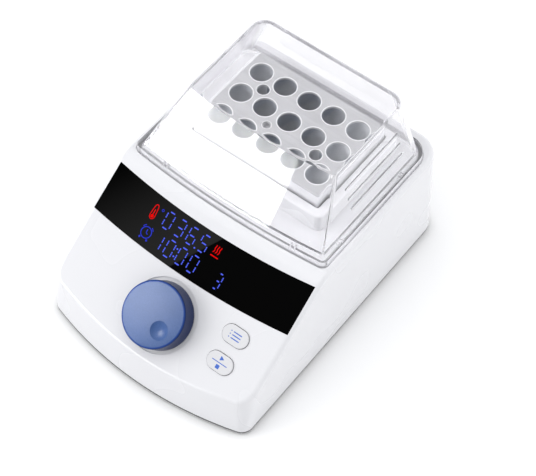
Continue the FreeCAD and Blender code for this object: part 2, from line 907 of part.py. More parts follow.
def heating_block():
    block = rounded_block(0, block_y, block_width, block_depth, block_round, block_bottom, block_top)
    rim = [edge for edge in block.Edges if abs(edge.CenterOfMass.z - block_top) < 0.01]
    block = block.makeChamfer(block_chamfer, rim)
    cuts = []
    for x, y in well_places():
        cuts += tube_well(x, y)
    for x, y in probe_well_places():
        cuts.append(disc(x, y, block_top - probe_well_depth, block_top, probe_well_diameter))
    x, y = block_screw_place()
    cuts.append(disc(x, y, block_top - block_screw_sink, block_top, block_screw_head + head_play))
    cuts.append(disc(x, y, block_bottom, block_top, block_screw_diameter + head_play))
    return block.cut(cuts)


def block_screw():
    x, y = block_screw_place()
    seat = block_top - block_screw_sink
    head = disc(x, y, seat, seat + block_screw_head_height, block_screw_head)
    shank = disc(x, y, block_bottom - block_screw_reach, seat, block_screw_diameter)
    socket = Part.Face(hexagon(x, y, hex_key, seat + block_screw_head_height - hex_depth))
    return head.fuse(shank).cut(socket.extrude(V(0, 0, hex_depth)))


def hexagon(x, y, across_flats, z):
    radius = across_flats / math.sqrt(3)
    corners = [V(x + radius * math.cos(math.radians(60 * n)), y + radius * math.sin(math.radians(60 * n)), z)
               for n in range(6)]
    return Part.makePolygon(corners + corners[:1])


def probe_axis():
    # The temperature probe lies along Y in the middle of the heater plate's thickness.
    return V(0, block_y + block_depth / 2 - plate_inset - probe_in_plate, plate_bottom + plate_thickness / 2)


def probe_hole(diameter):
    return Part.makeCylinder(diameter / 2, 3 * probe_in_plate + 2 * sleeve_thickness, probe_axis(), Y_DIR)


def heater_plate():
    plate = rounded_block(0, block_y, block_width - 2 * plate_inset, block_depth - 2 * plate_inset,
                          block_round, plate_bottom, block_bottom)
    x, y = block_screw_place()
    cuts = [disc(x, y, block_bottom - block_screw_reach - hole_end_gap, block_bottom,
                 block_screw_diameter + 2 * screw_play), probe_hole(probe_diameter + 2 * probe_play)]
    for x, y in clamp_screw_places():
        cuts.append(disc(x, y, plate_bottom, plate_bottom + clamp_screw_bite + hole_end_gap,
                         clamp_screw + 2 * screw_play))
    return plate.cut(cuts)


def thin_plate(inset, radius, z0, z1, hole):
    plate = rounded_block(0, block_y, block_width - 2 * inset, block_depth - 2 * inset, radius, z0, z1)
    return plate.cut([disc(x, y, z0, z1, hole) for x, y in clamp_screw_places()])


def heater_pad():
    return thin_plate(pad_inset, pad_round, pad_bottom, plate_bottom, clamp_screw + head_play)


def pad_clamp():
    return thin_plate(plate_inset, clamp_round, clamp_bottom, pad_bottom, clamp_screw + head_play)


def clamp_screws():
    reach = clamp_thickness + pad_thickness + clamp_screw_bite
    return group([pan_screw(x, y, clamp_bottom, clamp_head, clamp_head_height, clamp_screw, reach, True)
                  for x, y in clamp_screw_places()])


def insulation_board():
    board = rounded_block(0, block_y, block_width - 2 * plate_inset, block_depth - 2 * plate_inset,
                          clamp_round, bracket_top, clamp_bottom)
    cuts = [disc(x, y, bracket_top, clamp_bottom, clamp_head + clamp_hole_play)
            for x, y in clamp_screw_places()]
    cuts.append(disc(cutout_x, block_y, bracket_top, clamp_bottom, cutout_diameter + 2 * cutout_hole_play))
    return board.cut(cuts)


def chamber_liner():
    tube = rounded_block(0, block_y, liner_width, liner_depth, liner_round, bracket_top, deck_under)
    flange = rounded_block(0, block_y, liner_width + 2 * liner_flange, liner_depth + 2 * liner_flange,
                           liner_round + liner_flange, deck_under - liner_wall, deck_under)
    inside = rounded_block(0, block_y, chamber_width, chamber_depth, chamber_round, bracket_top, deck_under)
    return tube.fuse(flange).cut([inside, probe_hole(probe_diameter + 2 * probe_hole_play)])


def insulation_sleeve():
    top = deck_under - liner_wall
    outer = rounded_block(0, block_y, sleeve_width, sleeve_depth, liner_round + sleeve_thickness,
                          bracket_top, top)
    inner = rounded_block(0, block_y, liner_width, liner_depth, liner_round, bracket_top, top)
    return outer.cut([inner, probe_hole(probe_diameter + 2 * probe_hole_play)])


def heater_bracket():
    depth = sleeve_depth + 2 * bracket_margin
    plate = rounded_block(0, block_y, sleeve_width + 2 * bracket_margin, depth, bracket_round,
                          bracket_bottom, bracket_top)
    ears = []
    for x, y in bracket_post_places():
        side = math.copysign(1, x)
        inner = side * (sleeve_width / 2 - bracket_margin)
        ear = box(min(x, inner), max(x, inner), y - bracket_ear / 2, y + bracket_ear / 2,
                  bracket_bottom, bracket_top)
        ears += [ear, disc(x, y, bracket_bottom, bracket_top, bracket_ear)]
    cuts = [disc(x, y, bracket_bottom, bracket_top, bracket_screw + head_play)
            for x, y in bracket_post_places()]
    cuts.append(disc(cutout_x, block_y, bracket_bottom, bracket_top, cutout_diameter + 2 * cutout_hole_play))
    return fuse([plate] + ears).cut(cuts)


def bracket_screws():
    return group([pan_screw(x, y, bracket_top, bracket_head, bracket_head_height, bracket_screw,
                            bracket_screw_reach - hole_end_gap, False) for x, y in bracket_post_places()])


def temperature_probe():
    start = probe_axis()
    length = probe_in_plate + plate_inset + block_gap + liner_wall + sleeve_thickness + probe_tail
    return Part.makeCylinder(probe_diameter / 2, length, start, Y_DIR)


def thermal_cutout():
    # A snap disc that looks at the clamp plate through the board and hangs on its flange under the bracket.
    can = disc(cutout_x, block_y, bracket_bottom - cutout_flange_thickness, clamp_bottom, cutout_diameter)
    flange = disc(cutout_x, block_y, bracket_bottom - cutout_flange_thickness, bracket_bottom, cutout_flange)
    blade_top = bracket_bottom - cutout_flange_thickness
    blades = [box(cutout_x + dx - cutout_blade_width / 2, cutout_x + dx + cutout_blade_width / 2,
                  block_y - cutout_blade_thickness / 2, block_y + cutout_blade_thickness / 2,
                  blade_top - cutout_blade_length, blade_top)
              for dx in (-cutout_blade_offset, cutout_blade_offset)]
    return fuse([can, flange] + blades)


def display_window(form):
    window = Part.Face(band_outline(0, -band_thickness)).extrude(V(0, 0, band_thickness))
    return on_panel(window).common(form)


def display_module():
    top = -band_thickness - module_gap
    return on_panel(rounded_block(0, module_up, module_width, module_depth, module_round, -board_drop, top))


def control_board():
    board = rounded_block(0, (board_foot + board_top) / 2, board_width, board_top - board_foot,
                          board_round, -board_drop - board_thickness, -board_drop)
    holes = [disc(x, up, -board_drop - board_thickness, -board_drop, board_screw + head_play)
             for x, up in board_screw_places()]
    return on_panel(board.cut(holes))


def control_board_screws():
    face = -board_drop - board_thickness
    reach = board_thickness + board_screw_bite - hole_end_gap
    return group([on_panel(pan_screw(x, up, face, board_head, board_head_height, board_screw, reach, True))
                  for x, up in board_screw_places()])


def encoder_body():
    top = -board_drop + encoder_height
    body = rounded_block(0, knob_up, encoder_size, encoder_size, encoder_round, -board_drop, top)
    bore = disc(0, knob_up, -board_drop + switch_floor, top, shaft_diameter + 2 * shaft_play)
    return on_panel(body.cut(bore))


def encoder_bush():
    low = -board_drop + encoder_height
    bush = disc(0, knob_up, low, bush_stand - knob_well_depth, bush_diameter)
    bore = disc(0, knob_up, low, bush_stand - knob_well_depth, shaft_diameter + 2 * shaft_play)
    return on_panel(bush.cut(bore))


def shaft_top():
    return knob_stand + knob_height - knob_wall


def encoder_shaft():
    low = -board_drop + shaft_foot
    high = shaft_top()
    shaft = disc(0, knob_up, low, high, shaft_diameter)
    flat = box(-shaft_diameter, shaft_diameter, knob_up + shaft_diameter / 2 - shaft_flat,
               knob_up + shaft_diameter, high - shaft_in_knob, high)
    return on_panel(shaft.cut(flat))


def encoder_plunger():
    high = -board_drop + shaft_foot - plunger_gap
    return on_panel(disc(0, knob_up, high - plunger_thickness, high, shaft_diameter - 2 * plunger_inset))


def control_knob():
    # A shallow cap on a hub, with a finger dimple near the rim of its face.
    low = knob_stand
    high = knob_stand + knob_height
    cap = Part.makeCone(knob_diameter / 2, knob_top_diameter / 2, knob_height, V(0, knob_up, low))
    rim = [edge for edge in cap.Edges if edge.Closed and abs(edge.CenterOfMass.z - high) < 0.01]
    cap = cap.makeFillet(knob_edge, rim)
    hollow = disc(0, knob_up, low, high - knob_wall, knob_diameter - 4 * knob_wall)
    cap = cap.cut(hollow)
    hub_low = high - knob_wall - shaft_in_knob
    cap = cap.fuse(disc(0, knob_up, hub_low, high - knob_wall / 2, knob_hub))
    bore = disc(0, knob_up, hub_low, high - knob_wall, shaft_diameter)
    flat = box(-shaft_diameter, shaft_diameter, knob_up + shaft_diameter / 2 - shaft_flat,
               knob_up + shaft_diameter, hub_low, high)
    ball = (dimple_radius ** 2 + dimple_depth ** 2) / (2 * dimple_depth)
    centre = V(dimple_offset_x, knob_up + dimple_offset_up, high - dimple_depth + ball)
    dimple = Part.makeSphere(ball, centre)
    return on_panel(cap.cut([bore.cut(flat), dimple]))


def button_bottom():
    return -wall - button_flange_gap - button_flange_thickness


def switch_top():
    return -board_drop + switch_height


def push_button(up):
    low = button_bottom()
    cap = slot_block(button_x, up, button_length, button_width, low, button_stand)
    rim = [edge for edge in cap.Edges if abs(edge.CenterOfMass.z - button_stand) < 0.01]
    cap = cap.makeFillet(button_edge, rim)
    flange = slot_block(button_x, up, button_length + 2 * button_flange, button_width + 2 * button_flange,
                        low, low + button_flange_thickness)
    stem = disc(button_x, up, switch_top() + switch_stem_stand, low, button_stem)
    return on_panel(fuse([cap, flange, stem]))


def tact_switch(up):
    body = rounded_block(button_x, up, switch_size, switch_size, small_round, -board_drop, switch_top())
    bore = disc(button_x, up, -board_drop + switch_floor, switch_top(), switch_stem + 2 * switch_stem_play)
    return on_panel(body.cut(bore))


def tact_stem(up):
    foot = -board_drop + switch_floor + button_travel + switch_stem_gap
    return on_panel(disc(button_x, up, foot, switch_top() + switch_stem_stand, switch_stem))


def buzzer():
    low = -board_drop - board_thickness - buzzer_height
    can = disc(buzzer_x, buzzer_up, low, -board_drop - board_thickness, buzzer_diameter)
    return on_panel(can.cut(disc(buzzer_x, buzzer_up, low, low + buzzer_hole_depth, buzzer_hole)))


def panel_header():
    high = -board_drop - board_thickness
    return on_panel(rounded_block(header_x, panel_header_up, header_length, header_depth, small_round,
                                  high - header_height, high))


def main_board():
    board = rounded_block(0, main_y, main_width, main_depth, board_round, main_bottom, main_top)
    return board.cut([disc(x, y, main_bottom, main_top, main_screw + head_play)
                      for x, y in main_post_places()])


def main_board_screws():
    return group([pan_screw(x, y, main_top, main_head, main_head_height, main_screw,
                            board_thickness + main_screw_reach - hole_end_gap, False)
                  for x, y in main_post_places()])


def heat_sink():
    back = box(sink_x - sink_width / 2, sink_x + sink_width / 2, sink_y, sink_y + sink_base,
               main_top, main_top + sink_height)
    pitch = (sink_width - sink_fin) / (sink_fins - 1)
    fins = []
    for n in range(sink_fins):
        x = sink_x - sink_width / 2 + n * pitch
        fins.append(box(x, x + sink_fin, sink_y, sink_y + sink_depth, main_top, main_top + sink_height))
    return fuse([back] + fins)


def power_transistor():
    return rounded_block(sink_x, sink_y - transistor_thickness / 2, transistor_width, transistor_thickness,
                         small_round, main_top, main_top + transistor_height)


def smoothing_capacitors():
    cans = []
    for n in range(capacitor_count):
        can = disc(capacitor_x + n * capacitor_pitch, capacitor_y, main_top, main_top + capacitor_height,
                   capacitor_diameter)
        rim = [edge for edge in can.Edges if edge.Closed
               and abs(edge.CenterOfMass.z - main_top - capacitor_height) < 0.01]
        cans.append(can.makeFillet(capacitor_edge, rim))
    return group(cans)


def power_coil():
    ring = disc(coil_x, coil_y, main_top, main_top + coil_height, coil_outer)
    ring = ring.cut(disc(coil_x, coil_y, main_top, main_top + coil_height, coil_inner))
    return ring.makeFillet(coil_edge, [edge for edge in ring.Edges if edge.Closed])


def terminal_block():
    body = box(terminal_x - terminal_width / 2, terminal_x + terminal_width / 2,
               terminal_y - terminal_depth / 2, terminal_y + terminal_depth / 2,
               main_top, main_top + terminal_height)
    pitch = terminal_width / terminal_ways
    holes = []
    for n in range(terminal_ways):
        x = terminal_x + (n - (terminal_ways - 1) / 2) * pitch
        holes.append(disc(x, terminal_y, main_top + terminal_height / 2, main_top + terminal_height,
                          terminal_hole))
    return body.cut(holes)


def main_header():
    front = main_y - main_depth / 2 + header_inset
    return box(header_x - header_length / 2, header_x + header_length / 2, front, front + header_height,
               main_top, main_top + header_depth)


def ribbon_cable():
    # From the header under the control board down and back to the header on the main board.
    slope = math.radians(panel_angle)
    drop = board_drop + board_thickness + header_height
    start = V(header_x, panel_foot_y + panel_header_up * math.cos(slope) + drop * math.sin(slope),
              panel_foot_z + panel_header_up * math.sin(slope) - drop * math.cos(slope))
    level = main_top + ribbon_rise
    end = V(header_x, main_y - main_depth / 2 + header_inset, level)
    fall = (start.z - level) / math.cos(slope)
    corner = V(header_x, start.y + fall * math.sin(slope), level)
    turn = math.pi / 2 - slope
    reach = ribbon_bend * math.tan(turn / 2)
    into = corner - V(0, math.sin(slope), -math.cos(slope)) * reach
    out = corner + V(0, reach, 0)
    centre = out + V(0, 0, ribbon_bend)
    bend = centre - V(0, math.sin(turn / 2), math.cos(turn / 2)) * ribbon_bend
    path = Part.Wire([Part.LineSegment(start, into).toShape(), Part.Arc(into, bend, out).toShape(),
                      Part.LineSegment(out, end).toShape()])
    half = ribbon_width / 2
    edge = V(0, math.cos(slope), math.sin(slope)) * (ribbon_thickness / 2)
    section = Part.makePolygon([start + V(-half, 0, 0) - edge, start + V(half, 0, 0) - edge,
                                start + V(half, 0, 0) + edge, start + V(-half, 0, 0) + edge,
                                start + V(-half, 0, 0) - edge])
    return path.makePipeShell([section], True, True)


def along_y(x, z, y0, y1, diameter):
    return Part.makeCylinder(diameter / 2, y1 - y0, V(x, y0, z), Y_DIR)


def inlet_front():
    return pocket_floor + inlet_flange_thickness


def dc_inlet():
    front = inlet_front()
    body = along_y(inlet_x, pocket_z, pocket_floor, front, inlet_flange)
    barrel = along_y(inlet_x, pocket_z, front - inlet_length, front, inlet_barrel)
    bore = along_y(inlet_x, pocket_z, front - inlet_bore_depth, front, inlet_bore)
    return body.fuse(barrel).cut(bore)


def dc_inlet_pin():
    front = inlet_front()
    return along_y(inlet_x, pocket_z, front - inlet_bore_depth, front - inlet_pin_short, inlet_pin)


def dc_inlet_nut():
    face = Part.Face(hexagon(0, 0, inlet_nut, 0))
    nut = face.extrude(V(0, 0, inlet_nut_thickness))
    nut = nut.cut(disc(0, 0, 0, inlet_nut_thickness, inlet_barrel + 2 * inlet_play))
    nut.rotate(ORIGIN, X_DIR, 90)
    nut.translate(V(inlet_x, pocket_floor - wall, pocket_z))
    return nut


def rocker_switch():
    flange = rear_plate(rocker_flange_width, rocker_flange_height, rocker_round, pocket_z, rocker_x,
                        pocket_floor, pocket_floor + rocker_flange_thickness)
    body = rear_plate(rocker_body_width, rocker_body_height, small_round, pocket_z, rocker_x,
                      pocket_floor - rocker_body_depth, pocket_floor)
    front = pocket_floor + rocker_flange_thickness
    mouth = rear_plate(rocker_mouth_width, rocker_mouth_height, rocker_mouth_round, pocket_z, rocker_x,
                       front - rocker_mouth_depth, front)
    return flange.fuse(body).cut(mouth)


def rocker_paddle():
    # Two faces that meet in a shallow valley, tipped about the pin so that the upper end stands out.
    y = pocket_floor + rocker_flange_thickness / 2
    back = y + paddle_end - paddle_edge
    outline = [V(0, y - paddle_root, -paddle_half / 2), V(0, back, -paddle_half),
               V(0, y + paddle_end, -paddle_half), V(0, y + paddle_crown, 0),
               V(0, y + paddle_end, paddle_half), V(0, back, paddle_half),
               V(0, y - paddle_root, paddle_half / 2)]
    face = Part.Face(Part.makePolygon(outline + outline[:1]))
    half = rocker_mouth_width / 2 - paddle_side_gap
    paddle = face.extrude(V(2 * half, 0, 0))
    paddle.translate(V(rocker_x - half, 0, pocket_z))
    paddle.rotate(V(rocker_x, y, pocket_z), X_DIR, paddle_tilt)
    return paddle


os.makedirs("parts", exist_ok=True)
body = rounded_body()
save("upper_housing", upper_housing(body))
save("base_tray", base_tray())
for place, foot_x, foot_y in foot_places():
    save("rubber_foot_" + place, rubber_foot(foot_x, foot_y))
save("case_screws", case_screws())
save("lid", lid())
save("heating_block", heating_block())
save("block_screw", block_screw())
save("heater_plate", heater_plate())
save("heater_pad", heater_pad())
save("pad_clamp", pad_clamp())
save("clamp_screws", clamp_screws())
save("insulation_board", insulation_board())
save("chamber_liner", chamber_liner())
save("insulation_sleeve", insulation_sleeve())
save("heater_bracket", heater_bracket())
save("bracket_screws", bracket_screws())
save("temperature_probe", temperature_probe())
save("thermal_cutout", thermal_cutout())
save("display_window", display_window(body))
save("display_module", display_module())
save("control_board", control_board())
save("control_board_screws", control_board_screws())
save("encoder_body", encoder_body())
save("encoder_bush", encoder_bush())
save("encoder_shaft", encoder_shaft())
save("encoder_plunger", encoder_plunger())
save("control_knob", control_knob())
save("program_button", push_button(program_up))
save("run_button", push_button(run_up))
save("program_switch", tact_switch(program_up))
save("run_switch", tact_switch(run_up))
save("program_switch_stem", tact_stem(program_up))
save("run_switch_stem", tact_stem(run_up))
save("buzzer", buzzer())
save("panel_header", panel_header())
save("main_board", main_board())
save("main_board_screws", main_board_screws())
save("heat_sink", heat_sink())
save("power_transistor", power_transistor())
save("smoothing_capacitors", smoothing_capacitors())
save("power_coil", power_coil())
save("terminal_block", terminal_block())
save("main_header", main_header())
save("ribbon_cable", ribbon_cable())
save("dc_inlet", dc_inlet())
save("dc_inlet_pin", dc_inlet_pin())
save("dc_inlet_nut", dc_inlet_nut())
save("rocker_switch", rocker_switch())
save("rocker_paddle", rocker_paddle())
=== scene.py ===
import json
import math

import bpy
from mathutils import Matrix, Vector


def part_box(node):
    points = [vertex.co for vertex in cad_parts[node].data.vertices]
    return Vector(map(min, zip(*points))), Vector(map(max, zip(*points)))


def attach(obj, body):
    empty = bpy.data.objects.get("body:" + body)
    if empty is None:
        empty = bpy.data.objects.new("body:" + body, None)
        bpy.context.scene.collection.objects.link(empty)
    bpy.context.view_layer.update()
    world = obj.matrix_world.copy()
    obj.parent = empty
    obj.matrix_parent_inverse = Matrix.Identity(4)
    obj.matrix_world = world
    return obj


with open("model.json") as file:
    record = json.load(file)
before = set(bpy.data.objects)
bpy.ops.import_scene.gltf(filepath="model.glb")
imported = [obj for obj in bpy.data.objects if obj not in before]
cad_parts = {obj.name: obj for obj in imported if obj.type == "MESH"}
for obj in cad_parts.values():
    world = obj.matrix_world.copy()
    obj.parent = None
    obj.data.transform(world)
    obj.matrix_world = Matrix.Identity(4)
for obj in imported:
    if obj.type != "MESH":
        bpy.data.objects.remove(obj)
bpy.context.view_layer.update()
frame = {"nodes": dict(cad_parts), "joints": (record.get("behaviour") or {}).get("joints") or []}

# A small bench-top dry bath. The CAD parts come in at their places; this script gives them their
# finishes, adds the fine marks and small details, and sets the light, the floor and the camera.

nodes = frame["nodes"]
mm = 0.001

# The panel's own directions come from the knob's axis: x across, s up the panel, h above it
knobJoint = [joint for joint in frame["joints"] if joint["name"] == "knob_turn"][0]
panelNormal = Vector(knobJoint["axis"])
panelTilt = math.atan2(-panelNormal.y, panelNormal.z)
knobUp = 17.4
onPanel = (Matrix.Translation(Vector(knobJoint["pos_m"]))
           @ Matrix.Rotation(panelTilt, 4, "X")
           @ Matrix.Translation((0, -knobUp * mm, 0)))


# Shader helpers

class Term:
    # A socket that can be added, multiplied and so on; each operator adds its Math node.
    def __init__(self, finish, socket):
        self.finish = finish
        self.socket = socket

    def __add__(self, other):
        return self.finish.sums("ADD", self, other)

    def __mul__(self, other):
        return self.finish.sums("MULTIPLY", self, other)

    def __sub__(self, other):
        return self.finish.sums("SUBTRACT", self, other)

    def __rsub__(self, other):
        return self.finish.sums("SUBTRACT", other, self)

    def __truediv__(self, other):
        return self.finish.sums("DIVIDE", self, other)

    __radd__ = __add__
    __rmul__ = __mul__


class Finish:
    # One material: its shader's fixed values come in a dictionary, and what varies is fed in.
    def __init__(self, name, values):
        self.material = bpy.data.materials.new(name)
        self.material.use_nodes = True
        self.tree = self.material.node_tree
        self.shader = self.tree.nodes["Principled BSDF"]
        for key, value in values.items():
            self.shader.inputs[key].default_value = value

    def feed(self, socket, value):
        if isinstance(value, Term):
            self.tree.links.new(value.socket, socket)
        else:
            socket.default_value = value

    def add(self, kind, settings=None, sockets=None, output=0):
        node = self.tree.nodes.new(kind)
        for key, value in (settings or {}).items():
            if key == "stops":
                ramp = node.color_ramp
                while len(ramp.elements) < len(value):
                    ramp.elements.new(1.0)
                for element, (place, colour) in zip(ramp.elements, value):
                    element.position = place
                    element.color = (*colour, 1.0)
            else:
                setattr(node, key, value)
        for key, value in (sockets or {}).items():
            self.feed(node.inputs[key], value)
        return Term(self, node.outputs[output])

    def sums(self, operation, first, second):
        return self.add("ShaderNodeMath", {"operation": operation}, {0: first, 1: second})

    def place(self):
        return self.add("ShaderNodeTexCoord", output=3)

    def axis(self, letter):
        return self.add("ShaderNodeSeparateXYZ", sockets={0: self.place()}, output="XYZ".index(letter))

    def grain(self, scale, detail=2.0, roughness=0.5, stretch=(1, 1, 1)):
        spot = self.add("ShaderNodeMapping", sockets={"Vector": self.place(), "Scale": stretch})
        return self.add("ShaderNodeTexNoise", sockets={"Vector": spot, "Scale": scale, "Detail": detail,
                                                       "Roughness": roughness})

    def ramp(self, factor, stops):
        return self.add("ShaderNodeValToRGB", {"stops": stops}, {0: factor})

    def smooth(self, value, low, high, bottom=0.0, top=1.0):
        return self.add("ShaderNodeMapRange", {"interpolation_type": "SMOOTHSTEP"},
                        {0: value, 1: low, 2: high, 3: bottom, 4: top})

    def mix(self, factor, first, second):
        return self.add("ShaderNodeMix", {"data_type": "RGBA"}, {0: factor, 6: first, 7: second}, output=2)

    def colour(self, value):
        self.shade = value
        self.feed(self.shader.inputs["Base Color"], value)

    def rough(self, value):
        self.feed(self.shader.inputs["Roughness"], value)

    def bump(self, height, strength, distance):
        raised = self.add("ShaderNodeBump", sockets={"Strength": strength, "Distance": distance,
                                                     "Height": height})
        self.feed(self.shader.inputs["Normal"], raised)


def tone(level, tint=(1, 1, 1)):
    return (level * tint[0], level * tint[1], level * tint[2], 1.0)


patchEnds = (0.15, 0.85)
fineGrain = 4000.0


def mottled(name, values, light, dark, scale, roughness, bump=0.0, depth=0.0001, stretch=(1, 1, 1),
            detail=4.0):
    # A plain moulded or pressed finish: two close colours, uneven gloss and a fine grain.
    made = Finish(name, values)
    patches = made.grain(scale, detail, stretch=stretch)
    made.colour(made.mix(made.smooth(patches, *patchEnds), (*dark, 1.0), (*light, 1.0)))
    glossPatches = made.grain(scale * 3, detail / 2, stretch=stretch)
    made.rough(made.smooth(glossPatches, *patchEnds, *roughness))
    if bump:
        made.bump(made.grain(fineGrain, 2.0, stretch=stretch), bump, depth)
    return made


# Finishes

wellRims = {
    "columns": 5, "rows": 3, "pitch": (13.83, 15.47), "rise": 0.04, "sunk": 0.01,
    "radius": 5.45, "reach": 0.25, "width": 0.5, "sides": 48,
    "probeRadius": 3.1, "probeReach": 0.15, "probeWidth": 0.4, "smallSides": 36,
    "screwRadius": 2.2, "screwReach": 0.1, "screwWidth": 0.3,
    "collarWidth": 1.75, "collarHeight": 1.2, "collarSunk": 1.22,
}
# Painted shadow: a soft dark line at the foot of the shell stands in for the shade of the gap above the
# floor
paintedFootShadowRange = (3.1, 2.9)  # height in mm of the soft dark line at the foot of the shell
paintedFootShadowTone = (0.02, 0.022, 0.026, 1.0)

whiteShell = mottled("whiteShell",
                     {"Coat Weight": 0.25, "Coat Roughness": 0.12, "Specular IOR Level": 0.45},
                     (0.689, 0.689, 0.709), (0.686, 0.686, 0.706), 14.0, (0.26, 0.28), detail=0.0)
# The painted shadow line is mixed into the shell's colour by height
paintedFootShadow = whiteShell.smooth(whiteShell.axis("Z"), paintedFootShadowRange[0] * mm, paintedFootShadowRange[1] * mm)
whiteShell.colour(whiteShell.mix(paintedFootShadow, whiteShell.shade, paintedFootShadowTone))
whiteKey = mottled("whiteKey", {"Coat Weight": 0.3, "Coat Roughness": 0.1},
                   (0.65, 0.65, 0.665), (0.646, 0.646, 0.661), 40.0, (0.25, 0.27), detail=0.0)
darkBase = mottled("darkBase", {}, (0.014, 0.015, 0.018), (0.009, 0.01, 0.012), 150.0, (0.5, 0.62),
                   0.2, 0.0001)
footRubber = mottled("footRubber", {"Specular IOR Level": 0.3}, (0.03, 0.03, 0.032), (0.018, 0.018, 0.02),
                     300.0, (0.75, 0.9), 0.3, 0.0001)
screwSteel = mottled("screwSteel", {"Metallic": 1.0}, (0.62, 0.62, 0.63), (0.5, 0.5, 0.52), 500.0,
                     (0.25, 0.4), 0.1, 0.00003)
bracketSteel = mottled("bracketSteel", {"Metallic": 1.0}, (0.58, 0.6, 0.62), (0.42, 0.44, 0.47), 60.0,
                       (0.35, 0.5), 0.1, 0.00005)
heaterRubber = mottled("heaterRubber", {}, (0.5, 0.13, 0.05), (0.42, 0.1, 0.04), 200.0, (0.5, 0.65), 0.2)
insulationFelt = mottled("insulationFelt", {"Sheen Weight": 0.3}, (0.78, 0.75, 0.68), (0.6, 0.57, 0.5),
                         400.0, (0.85, 0.98), 0.6, 0.0003)
linerPlastic = mottled("linerPlastic", {}, (0.1, 0.1, 0.11), (0.075, 0.075, 0.085), 120.0, (0.4, 0.55), 0.1)
blackPlastic = mottled("blackPlastic", {}, (0.024, 0.024, 0.027), (0.015, 0.015, 0.018), 250.0,
                       (0.32, 0.45), 0.12, 0.00005)
boardGreen = mottled("boardGreen", {"Coat Weight": 0.3}, (0.02, 0.2, 0.07), (0.015, 0.14, 0.05), 160.0,
                     (0.28, 0.42), 0.15, 0.00005)
shaftBrass = mottled("shaftBrass", {"Metallic": 1.0}, (0.75, 0.56, 0.26), (0.62, 0.44, 0.2), 400.0,
                     (0.22, 0.36))
coilDark = mottled("coilDark", {}, (0.2, 0.07, 0.03), (0.1, 0.03, 0.015), 900.0, (0.3, 0.5), 0.5, 0.0002)
terminalGreen = mottled("terminalGreen", {}, (0.03, 0.32, 0.12), (0.02, 0.24, 0.09), 120.0,
                        (0.35, 0.5), 0.1)
ribbonGrey = mottled("ribbonGrey", {}, (0.5, 0.5, 0.52), (0.3, 0.3, 0.32), 60.0, (0.45, 0.6), 0.3, 0.0002,
                     (14, 1, 1))


blockFinish = {
    "strokes": 700.0, "strokeStretch": (0.06, 1, 1), "rimBand": (0.5, 1.5), "wellFall": (0.5, 13.0),
    "sideBand": (0.3, 0.9), "rightReach": 30.0, "leftReach": 50.0,
    "turn": (1.1, 0.7), "turnEnds": (-0.35, 0.5), "lightShares": (0.25, 0.25, 0.5),
    "paintedWellShadeTones": [(0.2, (0.1, 0.125, 0.175)), (0.85, (0.97, 0.98, 1.0))],
    "topTones": [(0.3, (0.46, 0.46, 0.475)), (0.7, (0.54, 0.54, 0.555))],
    "paintedSideShading": (0.86, 0.86, 0.88, 1.0), "metal": 0.6, "metalLostInWells": 0.5,
    "strokeEnds": (0.3, 0.7), "gloss": (0.34, 0.42), "bump": (0.08, 0.00003),
}


def makeBlockAluminium():
    # Milled aluminium: faint strokes along the block on top. The wells carry painted shade and light in
    # blue-grey: darker under the rim and lighter deeper, lighter towards one side of each well and towards
    # the block's ends. The block's sides are painted lighter than its top, as painted light.
    low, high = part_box("heating_block")
    middle = (low + high) / 2
    half = (high - low) / 2
    pitch = wellRims["pitch"]
    near, far = (part * mm for part in blockFinish["rimBand"])
    shallow, deep = (part * mm for part in blockFinish["wellFall"])
    edgeTop, edgeEnd = (part * mm for part in blockFinish["sideBand"])
    made = Finish("blockAluminium", {})
    strokes = made.grain(blockFinish["strokes"], 3.0, 0.6, blockFinish["strokeStretch"])
    level = made.axis("Z")
    alongX = made.axis("X") - middle.x
    alongY = made.axis("Y") - middle.y
    insideX = made.smooth(made.sums("ABSOLUTE", alongX, 0.0), half.x - near, half.x - far)
    insideY = made.smooth(made.sums("ABSOLUTE", alongY, 0.0), half.y - near, half.y - far)
    depth = made.smooth(level, high.z - near, high.z - far)
    down = made.smooth(level, high.z - shallow, high.z - deep)
    wellX = made.sums("FRACT", alongX / (pitch[0] * mm) + 0.5, 0.0) - 0.5
    wellY = made.sums("FRACT", alongY / (pitch[1] * mm) + 0.5, 0.0) - 0.5
    turnX, turnY = blockFinish["turn"]
    turned = made.smooth(wellX * turnX + wellY * turnY, *blockFinish["turnEnds"])
    ends = made.sums("MAXIMUM", alongX / (blockFinish["rightReach"] * mm),
                     alongX / (-blockFinish["leftReach"] * mm))
    downShare, turnShare, endShare = blockFinish["lightShares"]
    # Painted shade and light in the wells: darker under the rim, lighter deeper, towards one side of each
    # well and towards the block's ends
    light = down * downShare + turned * turnShare + ends * endShare
    paintedWellShade = made.ramp(light, blockFinish["paintedWellShadeTones"])
    top = made.ramp(strokes, blockFinish["topTones"])
    bored = depth * insideX * insideY
    # Painted light: the block's sides are painted lighter than its top
    sides = made.smooth(level, high.z - edgeTop, high.z - edgeEnd)
    outside = made.mix(sides, top, blockFinish["paintedSideShading"])
    made.colour(made.mix(bored, outside, paintedWellShade))
    made.feed(made.shader.inputs["Metallic"], blockFinish["metal"] - bored * blockFinish["metalLostInWells"])
    made.rough(made.smooth(strokes, *blockFinish["strokeEnds"], *blockFinish["gloss"]))
    made.bump(strokes, *blockFinish["bump"])
    return made


knobFinish = {
    "ring": (14.6, 15.0), "side": (15.45, 15.7), "specular": 0.22,
    "speck": 1500.0, "cloud": 110.0, "speckShare": 0.55, "cloudShare": 0.45,
    "faceTones": [(0.35, (0.021, 0.05, 0.138)), (0.65, (0.033, 0.066, 0.17))],
    "paintedGrooveShadeTone": (0.005, 0.028, 0.14, 1.0), "paintedSideShading": (0.003, 0.013, 0.07, 1.0),
    "speckEnds": (0.3, 0.7), "gloss": (0.29, 0.37), "bump": (0.12, 0.00005),
}


